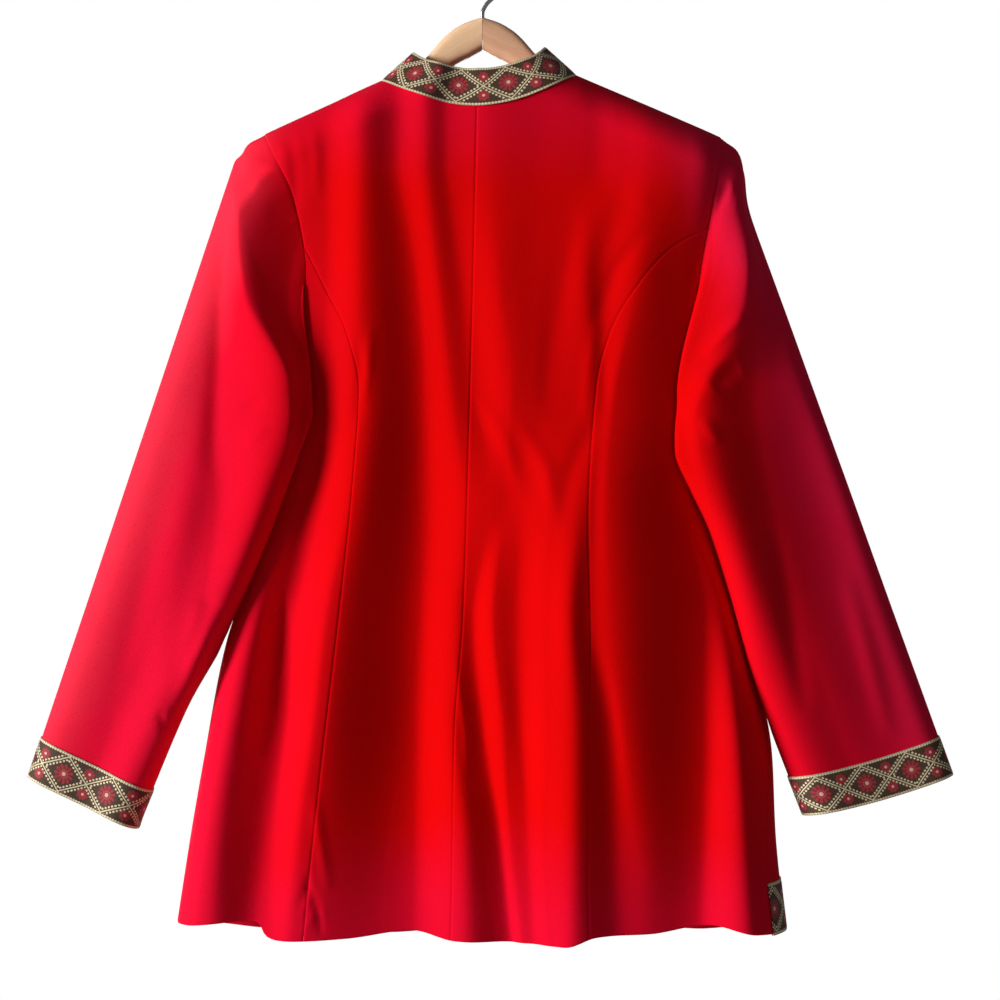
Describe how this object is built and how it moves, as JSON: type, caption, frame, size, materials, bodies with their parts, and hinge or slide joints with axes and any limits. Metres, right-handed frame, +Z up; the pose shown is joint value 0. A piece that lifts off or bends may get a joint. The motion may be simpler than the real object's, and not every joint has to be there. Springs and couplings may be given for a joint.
{
  "type": "blazer on a wooden hanger",
  "caption": "Long-sleeved blazer with a stand collar, shaped back seams and woven trim at the neck, cuffs and front hem, hung on a wooden hanger.",
  "frame": {"origin": "the place under the top of the hook's bend where the rail carries it", "axes": "+Z up, +X to the wearer's right, +Y to the wearer's front; the back of the jacket faces -Y"},
  "size_m": [0.8498, 0.1555, 0.9068],
  "materials": {
    "red_cloth": "matt, fine woven",
    "woven_trim": "woven in several colours with metallic yarn",
    "hanger_wood": "clear satin varnish",
    "hook_steel": "polished"
  },
  "bodies": {
    "root": {"back_centre_left": "red_cloth", "back_centre_right": "red_cloth", "back_side_left": "red_cloth", "back_side_right": "red_cloth", "front_left": "red_cloth", "front_right": "red_cloth", "sleeve_left": "red_cloth", "sleeve_right": "red_cloth", "stand_collar": "red_cloth", "collar_ribbon": "woven_trim", "cuff_ribbon_left": "woven_trim", "cuff_ribbon_right": "woven_trim", "hem_ribbon_left": "woven_trim", "hem_ribbon_right": "woven_trim", "hanger_arm_left": "hanger_wood", "hanger_arm_right": "hanger_wood", "hanger_hook": "hook_steel"}
  },
  "joints": []
}
